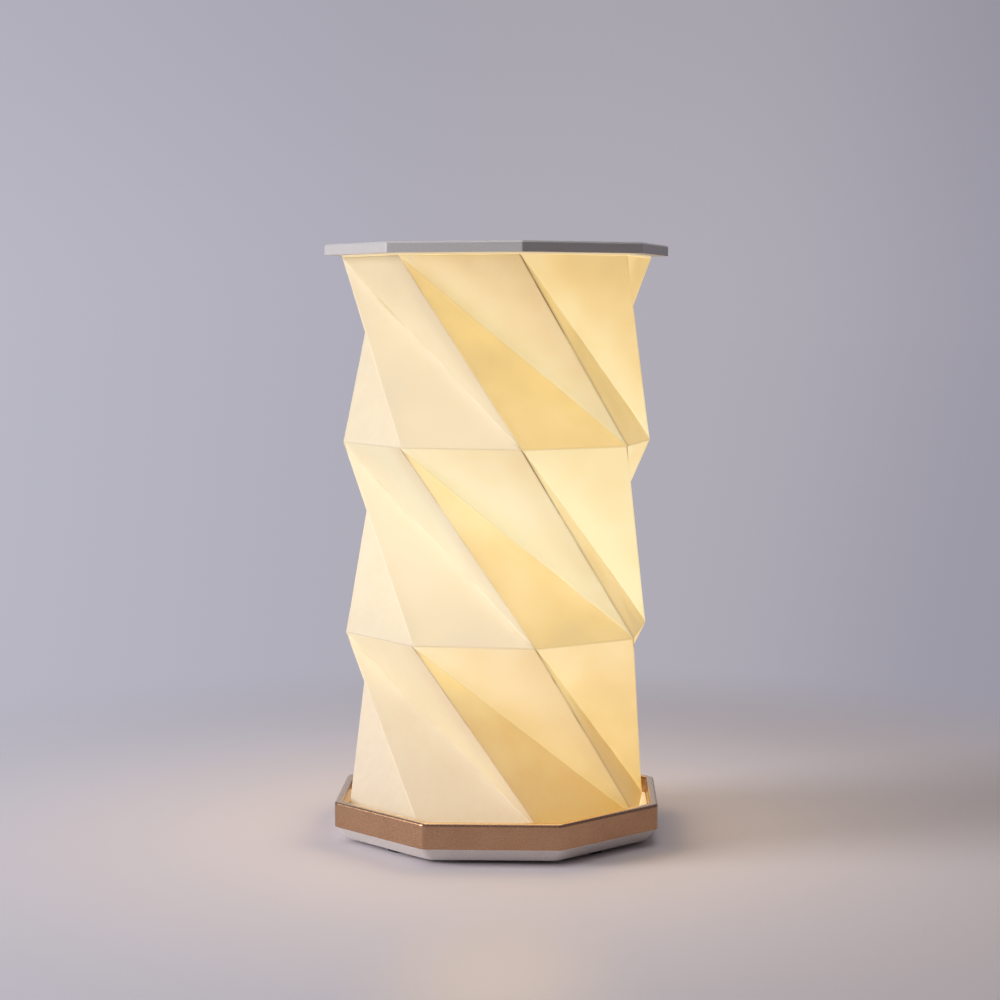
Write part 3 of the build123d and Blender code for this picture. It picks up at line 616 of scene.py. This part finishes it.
def painted_crease_shade(n, at):
    """How much painted crease shade there is: a dark line on mountain creases, at their upper ends and on
    the rings.
    """
    seed_way, seed_height, seed_tier = LINE_SEED
    along = n.add("CombineXYZ", {
        "X": n.times(at.way, seed_way),
        "Y": n.times(at.height, seed_height),
        "Z": n.times(at.tier, seed_tier),
    })
    line = n.times(
        n.spread(at.mountain, *LINE_WIDTH),
        n.spread(at.upper_share, *LINE_BY_SHARE),
        n.spread(n.noise(along.outputs["Vector"], 1.0, 3.0, 0.6), *LINE_BY_SEED),
        *(n.spread(at.way, *spread) for spread in LINE_BY_WAY),
    )
    mark = n.times(
        n.spread(at.mountain, *MARK_WIDTH),
        n.spread(at.upper_share, *MARK_BY_SHARE),
        n.spread(at.tier, *MARK_BY_TIER),
    )
    ring_line = n.times(n.spread(at.ring_edge, *RING_LINE_WIDTH), n.spread(at.cloud, *RING_LINE_BY_CLOUD))
    return n.math("MAXIMUM", n.math("MAXIMUM", line, mark), ring_line)


def paper_material():
    made, n = material("shade_paper")
    at = paper_maps(n)
    # band of painted shade beside the mountain creases of hanging facets
    band = n.times(at.hanging, n.spread(at.way, *BAND_BY_WAY), n.spread(at.mountain, *BAND_WIDTH))
    # painted shade along the creases
    lines = painted_crease_shade(n, at)
    paper = n.mix(n.spread(at.mottle, 0.3, 0.7), *PAPER_TONES)
    paper = n.mix(n.times(at.hanging, n.spread(at.facing, *WARM_BY_FACING)), paper, WARM_TONE)
    paper = n.mix(n.times(band, BAND_TINT), paper, BAND_SHADE_TONE)
    paper = n.mix(n.times(lines, CREASE_SHADE_SHARE), paper, CREASE_SHADE_TONE)
    shader(n, {
        "Base Color": paper,
        "Roughness": 0.78,
        "Specular IOR Level": 0.25,
        "Emission Color": n.mix(lines, glow_colour(n, at), CREASE_SHADE_GLOW),
        "Emission Strength": glow_left(n, at, band),
        "Normal": n.bump(n.math("ADD", at.mottle, at.fibres), PAPER_BUMP, 0.5),
    })
    return made


paper = paper_material()
sheet_corner = Vector((0, 0))
tier_bodies = {1: ("base", "ring_1"), 2: ("ring_1", "ring_2"), 3: ("ring_2", "top")}
for number, (lower_body, upper_body) in tier_bodies.items():
    tier, sheet_corner = paper_tier(number, sheet_corner)
    tier.data.materials.append(paper)
    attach(tier, lower_body)
    follow_upper_ring(tier, upper_body)
    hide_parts(f"shade_{number}_rising_facets", f"shade_{number}_hanging_facets")


# ---------------------------------------------------------------- finishes of the rigid pieces
BRONZE_TONES = ((0.455, 0.275, 0.168, 1), (0.41, 0.243, 0.145, 1))
BRONZE_GRAIN = (0.50, 0.325, 0.215, 1)
# painted dark reflection along the rim's outer rounded edge, below a painted bright reflection of the
# glowing shade on its lip
RIM_EDGE_PAINTED_REFLECTION = (0.20, 0.10, 0.05, 1)
RIM_EDGE = (-1.5 * MM, -0.7 * MM, 0.0, 0.55)     # how dark, by the height from the rim's top
RIM_LIP_PAINTED_REFLECTION = (0.97, 0.74, 0.48, 1)
RIM_LIP_REFLECTION_BAND = (-0.35 * MM, -0.12 * MM)
GRAIN_STRETCH = (1, 1, 6)                # fine lines along the rim


def bronze():
    """Satin bronze with a fine grain; its lip's colour is raised into a painted bright reflection of the
    glowing shade, with a painted dark reflection along the rim's outer edge below it.
    """
    made, n = material("rim_bronze")
    place = n.place()
    height = n.add("SeparateXYZ", {"Vector": place}).outputs["Z"]
    below_top = n.math("SUBTRACT", height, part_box("base_rim")[1][2])
    grain = n.noise(n.stretched(place, GRAIN_STRETCH), 900.0, 3.0, 0.6)
    cloud = n.noise(place, 70.0, 3.0)
    colour = n.mix(n.spread(cloud, 0.3, 0.7), *BRONZE_TONES)
    colour = n.mix(n.spread(grain, 0.35, 0.65, 0.0, 0.35), colour, BRONZE_GRAIN)
    # painted dark reflection along the outer edge
    colour = n.mix(n.spread(below_top, *RIM_EDGE), colour, RIM_EDGE_PAINTED_REFLECTION)
    # painted bright reflection of the glowing shade on the lip
    lip = n.spread(below_top, *RIM_LIP_REFLECTION_BAND)
    shader(n, {
        "Base Color": n.mix(lip, colour, RIM_LIP_PAINTED_REFLECTION),
        "Metallic": 1.0,
        "Roughness": n.spread(grain, 0.3, 0.7, 0.22, 0.30),
        "Normal": n.bump(n.times(grain, n.rest(lip)), 0.015 * MM, 0.3),
    })
    return made


def speckled(name, light, dark, scale, roughness, metallic=0.0, depth=0.02, emission=None):
    """A finish with a fine grain: two tones, a roughness that varies a little, and a shallow bump."""
    made, n = material(name)
    place = n.place()
    grain = n.noise(place, scale, 3.0, 0.6)
    broad = n.noise(place, scale / 12, 2.0)
    colour = n.mix(n.spread(grain, 0.35, 0.65), light, dark)
    colour = n.mix(n.spread(broad, 0.3, 0.7, 0.0, 0.3), colour, dark)
    inputs = {
        "Base Color": colour,
        "Metallic": metallic,
        "Roughness": n.spread(grain, 0.3, 0.7, roughness - 0.05, roughness + 0.06),
        "Normal": n.bump(grain, depth * MM, 0.5),
    }
    if emission:
        inputs["Emission Color"], inputs["Emission Strength"] = emission
    shader(n, inputs)
    return made


finishes = {
    "base_rim": bronze(),
    "base_shell": speckled("shell_silver", (0.83, 0.79, 0.75, 1), (0.76, 0.72, 0.69, 1), 1400, 0.40, 0.25),
    "foot_pads": speckled("foot_rubber", (0.045, 0.045, 0.047, 1), (0.025, 0.025, 0.026, 1), 1500, 0.8),
    "case_screws": speckled("screw_steel", (0.52, 0.52, 0.53, 1), (0.40, 0.40, 0.41, 1), 1800, 0.35, 1.0),
    # painted glow on the deck, standing in for the lamp's light falling on the tray outside the shade
    "tray_deck": speckled(
        "deck_white", (0.80, 0.79, 0.76, 1), (0.74, 0.73, 0.70, 1), 1200, 0.55,
        emission=((1.0, 0.62, 0.24, 1), 0.45),
    ),
    "light_board": speckled("light_board", (0.82, 0.82, 0.80, 1), (0.76, 0.76, 0.73, 1), 900, 0.45),
    "light_chips": speckled(
        "light_chips", (0.95, 0.80, 0.30, 1), (0.90, 0.70, 0.20, 1), 900, 0.4,
        emission=((1.0, 0.72, 0.38, 1), 2.0),
    ),
    "diffuser": speckled(
        "diffuser_opal", (0.90, 0.86, 0.78, 1), (0.86, 0.81, 0.72, 1), 600, 0.35,
        emission=((1.0, 0.76, 0.42, 1), 0.9),
    ),
    "top_reflector": speckled("reflector_white", (0.84, 0.83, 0.80, 1), (0.80, 0.79, 0.76, 1), 1100, 0.5),
    "top_plate": speckled("plate_grey", (0.70, 0.675, 0.69, 1), (0.67, 0.645, 0.66, 1), 1300, 0.52, 0.1),
    "control_board": speckled("control_board", (0.03, 0.16, 0.09, 1), (0.02, 0.11, 0.06, 1), 800, 0.4),
    "control_chips": speckled("chip_black", (0.03, 0.03, 0.032, 1), (0.02, 0.02, 0.02, 1), 1500, 0.5),
    "charging_socket": speckled(
        "socket_steel", (0.60, 0.60, 0.60, 1), (0.50, 0.50, 0.50, 1), 1500, 0.3, 1.0
    ),
    "power_button": speckled(
        "button_silver", (0.66, 0.66, 0.67, 1), (0.58, 0.58, 0.59, 1), 1600, 0.36, 0.8
    ),
    "indicator_pipe": speckled("indicator_clear", (0.80, 0.82, 0.82, 1), (0.74, 0.76, 0.77, 1), 900, 0.2),
    "battery_cell": speckled(
        "cell_foil", (0.62, 0.63, 0.65, 1), (0.54, 0.55, 0.57, 1), 500, 0.32, 0.9, 0.05
    ),
    "cell_pad": speckled("pad_foam", (0.10, 0.10, 0.11, 1), (0.06, 0.06, 0.07, 1), 1500, 0.9, 0.0, 0.06),
    "shade_bottom_flange": speckled(
        "shade_flange", (0.66, 0.62, 0.55, 1), (0.60, 0.57, 0.51, 1), 700, 0.75,
        emission=((0.92, 0.74, 0.42, 1), 0.60),
    ),
    "base_magnet": speckled(
        "magnet_nickel", (0.66, 0.65, 0.62, 1), (0.58, 0.57, 0.54, 1), 1500, 0.25, 1.0
    ),
    "cell_leads": speckled("lead_wire", (0.45, 0.04, 0.03, 1), (0.34, 0.03, 0.025, 1), 1400, 0.45),
}
finishes["light_leads"] = finishes["cell_leads"]
finishes["light_board_screws"] = finishes["case_screws"]
finishes["board_screws"] = finishes["case_screws"]
finishes["reflector_screws"] = finishes["case_screws"]
finishes["top_magnet"] = finishes["base_magnet"]
finishes["button_switch"] = finishes["control_chips"]
finishes["shade_top_flange"] = finishes["shade_bottom_flange"]

for name, finish in finishes.items():
    node = frame["nodes"][name]
    node.data.materials.clear()
    node.data.materials.append(finish)


# ---------------------------------------------------------------- floor, backdrop, light, camera
def seen_directly(n):
    """1 where the camera looks, or a reflection or a clear body shows; 0 for light that falls on things."""
    rays = n.add("LightPath")
    seen = n.math("MAXIMUM", rays.outputs["Is Camera Ray"], rays.outputs["Is Glossy Ray"])
    return n.math("MAXIMUM", seen, rays.outputs["Is Transmission Ray"])


def backdrop_colour(n, sideways):
    # painted falloff of light across the backdrop: lighter on the left, darker on the right, with a middle
    # tone
    even = n.mix(n.spread(sideways, *BACKDROP_SIDES, smooth=False), BACKDROP_LEFT, BACKDROP_RIGHT)
    off_centre = n.math("ABSOLUTE", n.math("SUBTRACT", sideways, BACKDROP_CENTRE))
    return n.mix(n.spread(off_centre, *BACKDROP_CENTRE_FADE), even, BACKDROP_MIDDLE)


def off_glow_reflection(n, split):
    """0 in the middle of the painted reflection of the lamp's glow in front of the lamp and 1 at its edge.
    """
    away = [
        n.math("DIVIDE", n.math("SUBTRACT", split.outputs[axis], middle), reach)
        for axis, middle, reach in zip("XY", GLOW_REFLECTION_PLACE, GLOW_REFLECTION_REACH)
    ]
    return n.length(n.add("CombineXYZ", {"X": away[0], "Y": away[1]}).outputs["Vector"])


def octagon_reach(n, place):
    """Distance from the axis towards the flat sides of an octagon that stands as the base does."""
    reach = 0.0
    for k in range(SIDES // 2):
        towards = (math.cos(SIDE_ANGLE * k), math.sin(SIDE_ANGLE * k), 0)
        along = n.add("VectorMath", {0: place, 1: towards}, operation="DOT_PRODUCT").outputs["Value"]
        reach = n.math("MAXIMUM", reach, n.math("ABSOLUTE", along))
    return reach


def floor_material():
    made, n = material("stage_floor")
    place = n.place()
    split = n.add("SeparateXYZ", {"Vector": place})
    away = n.length(place)
    sideways = n.math("DIVIDE", split.outputs["X"], n.math("ADD", away, BACKDROP_VIEW))
    ambient = n.add("Emission", {"Color": AMBIENT, "Strength": 1.0})
    seen = n.add("Emission", {"Color": backdrop_colour(n, sideways), "Strength": 1.0})
    far = n.add("MixShader", {0: seen_directly(n), 1: ambient.outputs[0], 2: seen.outputs[0]})
    # painted falloff of light from left to right
    tone = n.mix(n.spread(split.outputs["X"], *FLOOR_SIDES), FLOOR_LEFT, FLOOR_RIGHT)
    # painted pool of light round the lamp
    tone = n.mix(n.spread(away, *POOL_FADE), FLOOR_PAINTED_POOL, tone)
    # painted reflection of the lamp's glow
    tone = n.mix(n.spread(off_glow_reflection(n, split), 0.0, 1.0, 1.0, 0.0), tone, FLOOR_GLOW_REFLECTION)
    near = n.add("BsdfPrincipled", {
        # painted shadow under the base
        "Base Color": n.mix(n.spread(octagon_reach(n, place), *UNDER_BASE_SHADOW), FLOOR_PAINTED_SHADOW, tone),
        "Roughness": FLOOR_ROUGHNESS,
        "Specular IOR Level": FLOOR_SPECULAR,
    })
    fade = n.spread(away, *FLOOR_FADE)
    n.surface(n.add("MixShader", {0: fade, 1: near.outputs[0], 2: far.outputs[0]}).outputs[0])
    return made


def add_floor():
    mesh = bpy.data.meshes.new("stage_floor")
    bm = bmesh.new()
    bmesh.ops.create_circle(bm, cap_ends=True, segments=96, radius=FLOOR_RADIUS)
    bm.to_mesh(mesh)
    bm.free()
    floor = bpy.data.objects.new("stage_floor", mesh)
    bpy.context.scene.collection.objects.link(floor)
    mesh.materials.append(floor_material())
    return floor


def add_world():
    world = bpy.data.worlds.new("studio")
    world.use_nodes = True
    n = Nodes(world.node_tree)
    split = n.add("SeparateXYZ", {"Vector": n.add("TexCoord").outputs["Generated"]})
    upwards = n.spread(split.outputs["Z"], *BACKDROP_UPWARDS)
    seen = n.add("Background", {"Color": backdrop_colour(n, split.outputs["X"]), "Strength": upwards})
    ambient = n.add("Background", {"Color": AMBIENT, "Strength": 1.0})
    both = n.add("MixShader", {0: seen_directly(n), 1: ambient.outputs[0], 2: seen.outputs[0]})
    n.surface(both.outputs[0], "OutputWorld")
    bpy.context.scene.world = world


def add_soft_light(name, direction, distance, size, power):
    """A round soft lamp that looks at the middle of the object from a direction."""
    data = bpy.data.lights.new(name, "AREA")
    data.shape = "DISK"
    data.size = size
    data.energy = power
    data.color = SOFT_LIGHT_COLOUR
    lamp = bpy.data.objects.new(name, data)
    lamp.location = direction * distance + SOFT_LIGHT_AIM
    lamp.rotation_mode = "QUATERNION"
    lamp.rotation_quaternion = direction.to_track_quat("Z", "Y")
    lamp.visible_camera = False
    bpy.context.scene.collection.objects.link(lamp)


def add_glow(floor):
    """The lamp's own light, inside the shade. It goes down with the shade as that folds.

    The paper lets it through, and the tray and the floor don't.
    """
    data = bpy.data.lights.new("glow", "POINT")
    data.energy = GLOW_POWER
    data.color = GLOW_COLOUR
    data.shadow_soft_size = GLOW_RADIUS
    lamp = bpy.data.objects.new("glow", data)
    lamp.location = (0, 0, GLOW_HEIGHT)
    lamp.visible_camera = False
    lamp.visible_glossy = False
    lamp.parent = frame["bodies"]["ring_2"]
    blockers = bpy.data.collections.new("glow_blockers")
    for name in ("base_rim", "base_shell", "tray_deck", "diffuser"):
        blockers.objects.link(frame["nodes"][name])
    blockers.objects.link(floor)
    lamp.light_linking.blocker_collection = blockers
    bpy.context.scene.collection.objects.link(lamp)


def add_camera():
    data = bpy.data.cameras.new("camera")
    data.lens = CAMERA_LENS
    data.sensor_width = CAMERA_SENSOR
    camera = bpy.data.objects.new("camera", data)
    camera.location = CAMERA_PLACE
    camera.rotation_euler = (math.pi / 2 - CAMERA_TILT, 0, CAMERA_PAN)
    bpy.context.scene.collection.objects.link(camera)
    bpy.context.scene.camera = camera


floor = add_floor()
add_world()
add_soft_light("key", key_direction(), KEY_DISTANCE, KEY_SIZE, KEY_POWER)
add_soft_light("top_light", Vector((0, 0, 1)), TOP_HEIGHT, TOP_SIZE, TOP_POWER)
add_glow(floor)
add_camera()
bpy.context.scene.view_settings.view_transform = "Standard"
